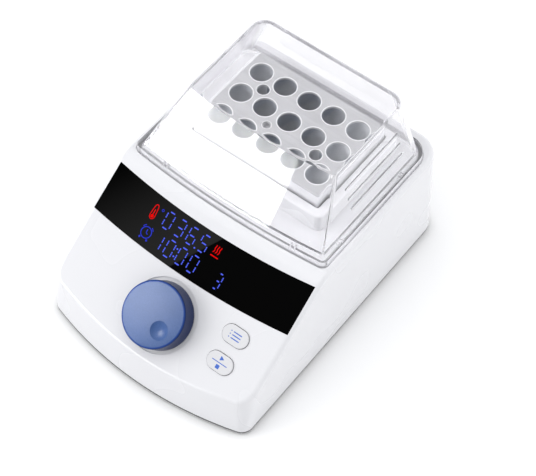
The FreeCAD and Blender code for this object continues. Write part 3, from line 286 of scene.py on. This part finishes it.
def makeKnobBlue():
    # Soft-touch blue face with a fine mottle, a darker line painted round it as the shade of a groove, and
    # smooth sides painted dark as painted shade
    made = Finish("knobBlue", {"Specular IOR Level": knobFinish["specular"]})
    centre = Vector(knobJoint["pos_m"])
    offset = made.add("ShaderNodeVectorMath", {"operation": "SUBTRACT"}, {0: made.place(), 1: centre})
    sideways = made.add("ShaderNodeVectorMath", {"operation": "CROSS_PRODUCT"}, {0: offset, 1: panelNormal})
    reach = made.add("ShaderNodeVectorMath", {"operation": "LENGTH"}, {0: sideways}, output=1)
    edge = made.smooth(reach, knobFinish["ring"][0] * mm, knobFinish["ring"][1] * mm)
    side = made.smooth(reach, knobFinish["side"][0] * mm, knobFinish["side"][1] * mm)
    speck = made.grain(knobFinish["speck"], 3.0, 0.6)
    cloud = made.grain(knobFinish["cloud"], 3.0)
    face = made.ramp(speck * knobFinish["speckShare"] + cloud * knobFinish["cloudShare"],
                     knobFinish["faceTones"])
    # Painted shade: a darker line round the face for the groove's shade, and darker sides
    rim = made.mix(edge, face, knobFinish["paintedGrooveShadeTone"])
    made.colour(made.mix(side, rim, knobFinish["paintedSideShading"]))
    made.rough(made.smooth(speck, *knobFinish["speckEnds"], *knobFinish["gloss"]))
    made.bump(speck, *knobFinish["bump"])
    return made


windowFinish = {"tone": 0.0006, "specular": 0.025, "patches": 90.0, "patchEnds": (0.3, 0.7),
                "gloss": (0.005, 0.012), "waves": 30.0, "bump": (0.003, 0.0001)}


def makeDisplayGlass():
    # Black acrylic with a hard gloss, hardly wavy
    made = Finish("displayGlass", {"Base Color": tone(windowFinish["tone"]),
                                   "Specular IOR Level": windowFinish["specular"]})
    patches = made.grain(windowFinish["patches"], 2.0)
    made.rough(made.smooth(patches, *windowFinish["patchEnds"], *windowFinish["gloss"]))
    made.bump(made.grain(windowFinish["waves"], 1.0), *windowFinish["bump"])
    return made


lidFinish = {"glassTone": (0.988, 0.985, 0.992, 1.0), "bending": 1.25, "skinTone": (0.88, 0.875, 0.905, 1.0),
             "skinMetal": 0.15, "haze": 45.0, "hazeEnds": (0.35, 0.75), "gloss": (0.02, 0.05),
             "grazing": (0.3, 0.85), "grazingCover": (0.0, 0.85), "hazeCover": 0.012, "leastCover": 0.016}


def makeClearLid():
    # Clear moulded plastic, milky where a wall is seen along its length
    made = Finish("clearLid", {"Base Color": lidFinish["glassTone"], "Transmission Weight": 1.0,
                               "IOR": lidFinish["bending"], "Roughness": 0.0})
    haze = made.grain(lidFinish["haze"], 3.0)
    gloss = made.smooth(haze, *lidFinish["hazeEnds"], *lidFinish["gloss"])
    skin = made.add("ShaderNodeBsdfPrincipled", sockets={"Base Color": lidFinish["skinTone"],
                                                         "Metallic": lidFinish["skinMetal"],
                                                         "Roughness": gloss})
    facing = made.add("ShaderNodeLayerWeight", sockets={"Blend": 0.5}, output=1)
    grazing = made.smooth(facing, *lidFinish["grazing"], *lidFinish["grazingCover"])
    cover = grazing + haze * lidFinish["hazeCover"] + lidFinish["leastCover"]
    glass = Term(made, made.shader.outputs[0])
    mixed = made.add("ShaderNodeMixShader", sockets={0: cover, 1: glass, 2: skin})
    made.feed(made.tree.nodes["Material Output"].inputs[0], mixed)
    return made


glowCells = {"scale": 1800.0, "ends": (0.4, 0.6), "dimming": 0.8}


def makeGlow(name, colour, strength):
    # A lit mark, with fine cells a little dimmer than the rest
    made = Finish(name, {"Base Color": tone(0.0), "Specular IOR Level": 0.0,
                         "Emission Strength": strength})
    made.material.cycles.emission_sampling = "NONE"
    cells = made.grain(glowCells["scale"], 1.0)
    dim = tuple(glowCells["dimming"] * part for part in colour)
    dimEnd, brightEnd = glowCells["ends"]
    made.feed(made.shader.inputs["Emission Color"], made.ramp(cells, [(dimEnd, dim), (brightEnd, colour)]))
    return made


blockAluminium = makeBlockAluminium()
knobBlue = makeKnobBlue()
displayGlass = makeDisplayGlass()
clearLid = makeClearLid()
blueGlow = makeGlow("blueGlow", (0.1, 0.15, 1.0), 1.05)
deepGlow = makeGlow("deepGlow", (0.03, 0.05, 0.72), 1.0)
redGlow = makeGlow("redGlow", (0.9, 0.004, 0.004), 1.0)
# Painted highlight: bright flat metal for the rings that stand in for the lit chamfers round the wells
paintedRimHighlight = mottled("paintedRimHighlight", {"Metallic": 1.0}, (0.95, 0.95, 0.955), (0.9, 0.9, 0.91), 500.0,
                       (0.3, 0.4))
blueInk = mottled("blueInk", {}, (0.055, 0.15, 0.55), (0.045, 0.125, 0.48), 900.0, (0.4, 0.5))

finishOf = {
    "upper_housing": whiteShell, "base_tray": darkBase, "rubber_foot": footRubber, "case_screws": screwSteel,
    "lid": clearLid, "heating_block": blockAluminium, "block_screw": screwSteel,
    "heater_plate": blockAluminium,
    "heater_pad": heaterRubber, "pad_clamp": bracketSteel, "clamp_screws": screwSteel,
    "insulation_board": insulationFelt, "chamber_liner": linerPlastic, "insulation_sleeve": insulationFelt,
    "heater_bracket": bracketSteel, "bracket_screws": screwSteel, "temperature_probe": screwSteel,
    "thermal_cutout": bracketSteel, "display_window": displayGlass, "display_module": blackPlastic,
    "control_board_screws": screwSteel, "control_board": boardGreen, "encoder_body": bracketSteel,
    "encoder_bush": shaftBrass, "encoder_shaft": shaftBrass, "encoder_plunger": blackPlastic,
    "control_knob": knobBlue, "program_button": whiteKey, "run_button": whiteKey,
    "program_switch_stem": blackPlastic, "run_switch_stem": blackPlastic, "program_switch": blackPlastic,
    "run_switch": blackPlastic, "buzzer": blackPlastic, "panel_header": blackPlastic,
    "main_board_screws": screwSteel, "main_board": boardGreen, "heat_sink": bracketSteel,
    "power_transistor": blackPlastic, "smoothing_capacitors": blackPlastic, "power_coil": coilDark,
    "terminal_block": terminalGreen, "main_header": blackPlastic, "ribbon_cable": ribbonGrey,
    "dc_inlet_pin": shaftBrass, "dc_inlet_nut": bracketSteel, "dc_inlet": blackPlastic,
    "rocker_switch": blackPlastic, "rocker_paddle": blackPlastic,
}


def finishNodes():
    for name, part in nodes.items():
        family = max((key for key in finishOf if name.startswith(key)), key=len)
        part.data.materials.clear()
        part.data.materials.append(finishOf[family].material)


finishNodes()
nodes["lid"].visible_shadow = False  # its clear walls would darken the deck
print("finishes are on", len(nodes), "CAD parts")


# Modelling helpers

def deselect():
    for piece in bpy.context.selected_objects:
        piece.select_set(False)


def newest(name):
    piece = bpy.context.object
    piece.name = name
    piece.data.name = name
    return piece


def settle(piece, finish, body, matrix=None):
    # The place goes into the mesh, and the piece rides on its body
    deselect()
    piece.select_set(True)
    bpy.context.view_layer.objects.active = piece
    if matrix is not None:
        piece.matrix_world = matrix @ piece.matrix_world
    bpy.ops.object.transform_apply(location=True, rotation=True, scale=True)
    piece.data.materials.clear()
    piece.data.materials.append(finish.material)
    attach(piece, body)
    return piece


def joined(pieces, name):
    deselect()
    for piece in pieces:
        piece.select_set(True)
    bpy.context.view_layer.objects.active = pieces[0]
    bpy.ops.object.join()
    return newest(name)


def bar(start, end, width, base, rise, tip=0.35):
    # One flat stroke of a mark, with eased ends, drawn on the panel's plane
    start, end = Vector(start), Vector(end)
    run = end - start
    deselect()
    bpy.ops.mesh.primitive_plane_add(size=1, location=(0, 0, 0))
    piece = bpy.context.object
    bpy.ops.object.mode_set(mode="EDIT")
    bpy.ops.transform.resize(value=(run.length * mm, width * mm, 1))
    bpy.ops.mesh.bevel(offset=tip * width * mm, affect="VERTICES", segments=2)
    bpy.ops.mesh.extrude_region_move(TRANSFORM_OT_translate={"value": (0, 0, rise * mm)})
    bpy.ops.mesh.select_all(action="SELECT")
    bpy.ops.mesh.normals_make_consistent(inside=False)
    bpy.ops.object.mode_set(mode="OBJECT")
    middle = (start + end) / 2
    piece.matrix_world = (Matrix.Translation((middle.x * mm, middle.y * mm, base * mm))
                          @ Matrix.Rotation(math.atan2(run.y, run.x), 4, "Z"))
    deselect()
    piece.select_set(True)
    bpy.ops.object.transform_apply(location=True, rotation=True, scale=True)
    return piece


def stroke(points, width, base, rise, closed=False):
    # A curved flat stroke: a soft curve through the points, given its width and thickness
    deselect()
    bpy.ops.curve.primitive_nurbs_path_add()
    piece = bpy.context.object
    curve = piece.data
    curve.splines.clear()
    spline = curve.splines.new("NURBS")
    spline.points.add(len(points) - 1)
    for point, (x, y) in zip(spline.points, points):
        point.co = (x * mm, y * mm, 0, 1)
    spline.order_u = 4
    spline.use_endpoint_u = not closed
    spline.use_cyclic_u = closed
    spline.resolution_u = 8
    curve.bevel_depth = width / 2 * mm
    curve.bevel_resolution = 1
    curve.use_fill_caps = True
    bpy.ops.object.convert(target="MESH")
    piece = bpy.context.object
    piece.scale.z = rise / width
    piece.location.z = (base + rise / 2) * mm
    bpy.ops.object.transform_apply(location=True, rotation=True, scale=True)
    return piece


def ring(x, y, radius, width, base, rise, sides=40):
    # A flat ring
    deselect()
    bpy.ops.mesh.primitive_circle_add(vertices=sides, radius=(radius + width / 2) * mm, fill_type="NGON")
    piece = bpy.context.object
    bpy.ops.object.mode_set(mode="EDIT")
    bpy.ops.mesh.inset(thickness=width * mm)
    bpy.ops.mesh.delete(type="FACE")
    bpy.ops.mesh.select_all(action="SELECT")
    bpy.ops.mesh.extrude_region_move(TRANSFORM_OT_translate={"value": (0, 0, rise * mm)})
    bpy.ops.mesh.select_all(action="SELECT")
    bpy.ops.mesh.normals_make_consistent(inside=False)
    bpy.ops.object.mode_set(mode="OBJECT")
    piece.location = (x * mm, y * mm, base * mm)
    bpy.ops.object.transform_apply(location=True, rotation=True, scale=True)
    return piece


# The lit display

display = {
    "top": "0365", "bottom": "1000", "small": "3",
    "topLine": (-22.4, 51.5), "bottomLine": (-21.95, 40.9), "smallLine": (13.6, 41.0),
    "pitch": 6.84, "bottomPitch": 6.78, "digitWidth": 4.1, "digitHeight": 7.95, "smallWidth": 3.0,
    "smallHeight": 7.3, "stroke": 0.62, "base": -0.02, "rise": 0.06, "digitGap": 0.85, "waistGap": 0.45,
    "dashes": 3, "dashEnds": (0.06, 0.94), "dashWidth": 0.9,
    "dots": [(-2.85, 51.5), (-9.7, 46.8), (-9.6, 43.0)], "dotReach": 0.4, "dotWidth": 0.8,
}

# Each sign on the display: rings (x, up, radius, width, sides), bars (start, end, width) and
# curves (points, width, closed)
clockMark = {
    "rings": [(-27.1, 45.3, 2.7, 0.42, 40), (-25.2, 58.0, 0.5, 0.3, 20)],
    "bars": [((-27.1, 45.3), (-27.1, 47.0), 0.4), ((-27.1, 45.3), (-26.0, 44.7), 0.4),
             ((-28.9, 42.7), (-29.3, 41.7), 0.9), ((-25.3, 42.7), (-24.9, 41.7), 0.9)],
    "curves": [([(-29.9, 47.2), (-29.5, 48.0), (-28.7, 48.5)], 0.42, False),
               ([(-24.3, 47.2), (-24.7, 48.0), (-25.5, 48.5)], 0.42, False)],
}
heatMark = {
    "rings": [(-28.7, 53.2, 0.45, 0.8, 24)],
    "bars": [((-28.7, 53.4), (-28.7, 56.6), 0.5), ((5.3, 53.1), (9.7, 53.1), 0.55)],
    "curves": [([(-29.9, 54.6), (-29.7, 58.5), (-28.7, 59.2), (-27.7, 58.5), (-27.5, 54.6), (-27.2, 52.6),
                 (-28.7, 51.4), (-30.2, 52.6)], 0.42, True)]
              + [([(x - 0.4, 54.6), (x + 0.5, 55.6), (x - 0.6, 56.6), (x + 0.3, 57.7), (x + 0.1, 58.3)],
                  0.45, False) for x in (6.1, 7.4, 8.7)],
}

segmentsOf = {"0": "abcdef", "1": "bc", "2": "abged", "3": "abgcd", "4": "fgbc", "5": "afgcd", "6": "afgedc",
              "7": "abc", "8": "abcdefg", "9": "abcdfg"}


def dashed(start, end, count):
    # An upright segment is a row of short dashes
    start, end = Vector(start), Vector(end)
    step = (end - start) / count
    first, last = display["dashEnds"]
    width = display["stroke"] * display["dashWidth"]
    return [bar(start + step * (place + first), start + step * (place + last), width, display["base"],
                display["rise"]) for place in range(count)]


def digit(number, x, up, width, height):
    # A seven-segment number with small gaps between its strokes
    gap = display["digitGap"]
    waist = display["waistGap"]
    middle = up + height / 2
    ends = {
        "a": ((x + gap, up + height), (x + width - gap, up + height)),
        "g": ((x + gap, middle), (x + width - gap, middle)),
        "d": ((x + gap, up), (x + width - gap, up)),
        "f": ((x, middle + waist), (x, up + height - gap)),
        "b": ((x + width, middle + waist), (x + width, up + height - gap)),
        "e": ((x, up + gap), (x, middle - waist)),
        "c": ((x + width, up + gap), (x + width, middle - waist)),
    }
    pieces = []
    for letter in segmentsOf[number]:
        if letter in "adg":
            pieces.append(bar(*ends[letter], display["stroke"], display["base"], display["rise"]))
        else:
            pieces += dashed(*ends[letter], display["dashes"])
    return pieces


def digitRow(numbers, line, pitch, width, height):
    x, up = line
    pieces = []
    for place, number in enumerate(numbers):
        pieces += digit(number, x + place * pitch, up, width, height)
    return pieces


def dot(x, up):
    return bar((x - display["dotReach"], up), (x + display["dotReach"], up), display["dotWidth"],
               display["base"], display["rise"])


def drawn(mark):
    base, rise = display["base"], display["rise"]
    pieces = [ring(x, up, radius, width, base, rise, sides) for x, up, radius, width, sides in mark["rings"]]
    pieces += [bar(start, end, width, base, rise) for start, end, width in mark["bars"]]
    pieces += [stroke(points, width, base, rise, closed) for points, width, closed in mark["curves"]]
    return pieces


def makeDisplayMarks():
    width, height = display["digitWidth"], display["digitHeight"]
    numbers = digitRow(display["top"], display["topLine"], display["pitch"], width, height)
    numbers += digitRow(display["bottom"], display["bottomLine"], display["bottomPitch"], width, height)
    numbers += digitRow(display["small"], display["smallLine"], 0, display["smallWidth"],
                        display["smallHeight"])
    numbers += [dot(*place) for place in display["dots"]]
    settle(joined(numbers, "displayNumbers"), blueGlow, "housing", onPanel)
    settle(joined(drawn(clockMark), "displayClock"), deepGlow, "housing", onPanel)
    settle(joined(drawn(heatMark), "displayHeatMarks"), redGlow, "housing", onPanel)


makeDisplayMarks()
print("the display is lit")


# Signs printed on the two keys

keySigns = {
    "x": 35.7, "programUp": 28.4, "runUp": 14.5, "top": 0.9, "ink": 0.03, "sunk": 0.015, "line": 0.5,
    "rows": (-1.5, 0, 1.5), "longLine": (-1.6, 3.0), "shortLine": (-3.0, -2.4),
    "runLine": (-4.1, 4.1), "runLineWidth": 0.4, "arrow": 1.35, "arrowUp": 2.1, "square": 1.9,
    "squareUp": -2.0, "easing": 0.15,
}


def makeKeySigns():
    base = keySigns["top"] - keySigns["sunk"]
    ink = keySigns["ink"]
    x, up = keySigns["x"], keySigns["programUp"]
    lines = []
    for row in keySigns["rows"]:
        for left, right in (keySigns["longLine"], keySigns["shortLine"]):
            lines.append(bar((x + left, up + row), (x + right, up + row), keySigns["line"], base, ink))
    settle(joined(lines, "programSign"), blueInk, "program_key", onPanel)
    up = keySigns["runUp"]
    left, right = keySigns["runLine"]
    run = [bar((x + left, up), (x + right, up), keySigns["runLineWidth"], base, ink)]
    deselect()
    bpy.ops.mesh.primitive_circle_add(vertices=3, radius=keySigns["arrow"] * mm, fill_type="NGON",
                                      location=(x * mm, (up + keySigns["arrowUp"]) * mm, base * mm),
                                      rotation=(0, 0, math.radians(-90)))
    run.append(raised(bpy.context.object, ink))
    deselect()
    bpy.ops.mesh.primitive_plane_add(size=keySigns["square"] * mm,
                                     location=(x * mm, (up + keySigns["squareUp"]) * mm, base * mm))
    run.append(raised(bpy.context.object, ink))
    settle(joined(run, "runSign"), blueInk, "run_key", onPanel)


def raised(piece, rise):
    # A flat outline given its thickness, with corners eased
    bpy.ops.object.mode_set(mode="EDIT")
    bpy.ops.mesh.bevel(offset=keySigns["easing"] * mm, affect="VERTICES", segments=2)
    bpy.ops.mesh.extrude_region_move(TRANSFORM_OT_translate={"value": (0, 0, rise * mm)})
    bpy.ops.mesh.select_all(action="SELECT")
    bpy.ops.mesh.normals_make_consistent(inside=False)
    bpy.ops.object.mode_set(mode="OBJECT")
    bpy.ops.object.transform_apply(location=True, rotation=True, scale=True)
    return piece


makeKeySigns()
print("the keys have their signs")


# Bright rings round the wells: flat rings of bright metal, painted highlights standing in for the lit
# chamfers

def makeWellRims():
    low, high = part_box("heating_block")
    middle = (low + high) / 2 / mm
    across, along = wellRims["pitch"]
    rise = wellRims["rise"]
    rims = []
    for column in range(wellRims["columns"]):
        for row in range(wellRims["rows"]):
            x = middle.x + (column - 2) * across
            y = middle.y + (row - 1) * along
            rims.append(ring(x, y, wellRims["radius"] + wellRims["reach"], wellRims["width"], 0, rise,
                             wellRims["sides"]))
    for side in (-1, 1):
        rims.append(ring(middle.x + side * 1.5 * across, middle.y - side * along / 2,
                         wellRims["probeRadius"] + wellRims["probeReach"], wellRims["probeWidth"], 0, rise,
                         wellRims["smallSides"]))
    x = middle.x - across / 2
    y = middle.y - along / 2
    rims.append(ring(x, y, wellRims["screwRadius"] + wellRims["screwReach"], wellRims["screwWidth"], 0,
                     rise, wellRims["smallSides"]))
    # The rings lie flush on the block's top as painted highlights
    top = Matrix.Translation((0, 0, high.z - wellRims["sunk"] * mm))
    settle(joined(rims, "wellRims"), paintedRimHighlight, "housing", top)


def makeScrewCollar():
    # A plain collar in the counterbore brings it down to the small screw's size
    low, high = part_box("heating_block")
    middle = (low + high) / 2 / mm
    across, along = wellRims["pitch"]
    width = wellRims["collarWidth"]
    ring(middle.x - across / 2, middle.y - along / 2, wellRims["screwRadius"] + width / 2, width, 0,
         wellRims["collarHeight"], wellRims["sides"])
    place = Matrix.Translation((0, 0, high.z - wellRims["collarSunk"] * mm))
    settle(newest("screwCollar"), blockAluminium, "housing", place)


makeWellRims()
makeScrewCollar()
print("the wells have their rims")


# Floor, light and camera

studio = {
    "floorSize": 12.0, "floorGrain": 12.0, "floorRoughness": 0.85,
    "floorTones": [(0.3, (0.93, 0.93, 0.93)), (0.7, (0.95, 0.95, 0.95))],
    "sky": (0.97, 0.98, 1.0, 1.0), "ambient": 0.8,
    "topLight": {"place": (-0.25, -0.1, 1.5), "aim": (0, 0, 0.05), "size": (1.6, 1.6), "power": 8.5,
                 "mirrored": True},
    "leftLight": {"place": (-1.0, -0.9, 0.6), "aim": (0, 0, 0.05), "size": (0.9, 0.9), "power": 8.0,
                  "mirrored": False},
    "rightLight": {"place": (1.2, 0.8, 0.5), "aim": (0, 0, 0.05), "size": (0.9, 0.9), "power": 7.0,
                   "mirrored": False},
    "knobLight": {"place": (-0.038, -0.11, 0.09), "aim": (-0.01, -0.065, 0.045), "size": (0.036, 0.036),
                  "power": 0.075, "mirrored": True, "only": "control_knob"},
    "crestLight": {"place": (-0.84, -1.0, 0.3), "aim": (0, 0, 0.05), "size": (1.2, 0.7), "power": 26.0,
                   "mirrored": True, "diffuse": False, "only": "upper_housing"},
    "lidCard": {"edge": (-0.241, -1.0, 0.315), "size": (1.2, 0.7), "lean": 14.4, "full": 0.5,
                "stops": (30.0, 30.0), "only": "lid"},
    "bandCard": {"edge": (-0.426, -0.8, 0.851), "size": (0.18, 0.5), "lean": 7.8, "full": 0.45,
                 "stops": (0.0, 9.5), "only": "display_window"},
    "topCard": {"edge": (-0.42, 1.0, 1.5), "size": (0.9, 0.9), "lean": 0, "full": 0.5,
                "stops": (1.6, 0.6), "only": "lid"},
}
cameraView = {"place": (0.2766, -0.3670, 0.6921), "azimuth": 35.59, "elevation": 55.39, "roll": 2.19,
              "lens": 114.72, "sensor": 36.0, "near": 0.01}


def makeFloor():
    deselect()
    bpy.ops.mesh.primitive_plane_add(size=studio["floorSize"], location=(0, 0, 0))
    floor = newest("floor")
    pale = Finish("paleFloor", {"Roughness": studio["floorRoughness"]})
    pale.colour(pale.ramp(pale.grain(studio["floorGrain"], 3.0), studio["floorTones"]))
    floor.data.materials.append(pale.material)


def lightOnly(lamp, values):
    # A lamp or card that is meant for one part reaches no other
    if "only" in values:
        lit = bpy.data.collections.new(lamp.name)
        lit.objects.link(nodes[values["only"]])
        lamp.light_linking.receiver_collection = lit


def makeLight(name):
    values = studio[name]
    light = bpy.data.lights.new(name, "AREA")
    light.shape = "RECTANGLE"
    light.size, light.size_y = values["size"]
    light.energy = values["power"]
    lamp = bpy.data.objects.new(name, light)
    bpy.context.scene.collection.objects.link(lamp)
    lamp.location = values["place"]
    aim = Vector(values["aim"]) - Vector(values["place"])
    lamp.rotation_euler = aim.to_track_quat("-Z", "Y").to_euler()
    lamp.visible_glossy = values["mirrored"]
    lamp.visible_diffuse = values.get("diffuse", True)
    lamp.visible_camera = False
    lightOnly(lamp, values)


def makeCard(name):
    # A board that only shows in reflections, from the first of its stops at the left to the second
    values = studio[name]
    lean = math.radians(values["lean"])
    width, height = values["size"]
    deselect()
    bpy.ops.mesh.primitive_plane_add(size=1, location=(0, 0, 0))
    card = newest(name)
    across = Vector((math.cos(lean), 0, -math.sin(lean)))
    up = Vector((math.sin(lean), 0, math.cos(lean)))
    turn = Matrix((across * width, up * height, across.cross(up))).transposed()
    card.matrix_world = Matrix.Translation(Vector(values["edge"]) - across * width / 2) @ turn.to_4x4()
    left, right = values["stops"]
    paint = Finish(name, {"Base Color": tone(0.0), "Specular IOR Level": 0.0,
                          "Emission Strength": 1.0})
    spread = paint.smooth(paint.axis("X"), -0.5, values["full"])
    paint.feed(paint.shader.inputs["Emission Color"], paint.mix(spread, tone(left), tone(right)))
    paint.material.cycles.emission_sampling = "NONE"
    card.data.materials.append(paint.material)
    card.visible_camera = False
    card.visible_diffuse = False
    card.visible_transmission = False
    card.visible_shadow = False
    lightOnly(card, values)


def makeWorld():
    world = bpy.data.worlds.new("studio")
    bpy.context.scene.world = world
    world.use_nodes = True
    backdrop = world.node_tree.nodes["Background"]
    backdrop.inputs["Color"].default_value = studio["sky"]
    backdrop.inputs["Strength"].default_value = studio["ambient"]


def makeCamera():
    lens = bpy.data.cameras.new("camera")
    lens.sensor_width = cameraView["sensor"]
    lens.lens = cameraView["lens"]
    lens.clip_start = cameraView["near"]
    camera = bpy.data.objects.new("camera", lens)
    bpy.context.scene.collection.objects.link(camera)
    across = math.radians(cameraView["azimuth"])
    rise = math.radians(cameraView["elevation"])
    roll = math.radians(cameraView["roll"])
    back = Vector((math.sin(across) * math.cos(rise), -math.cos(across) * math.cos(rise),
                   math.sin(rise)))
    right = Vector((math.cos(across), math.sin(across), 0))
    up = back.cross(right)
    right, up = right * math.cos(roll) + up * math.sin(roll), up * math.cos(roll) - right * math.sin(roll)
    turn = Matrix((right, up, back)).transposed()
    camera.matrix_world = Matrix.Translation(cameraView["place"]) @ turn.to_4x4()
    bpy.context.scene.camera = camera


makeFloor()
for lightName in ("topLight", "leftLight", "rightLight", "knobLight", "crestLight"):
    makeLight(lightName)
for cardName in ("lidCard", "bandCard", "topCard"):
    makeCard(cardName)
makeWorld()
makeCamera()
bpy.context.scene.view_settings.view_transform = "Standard"
print("the studio is set")
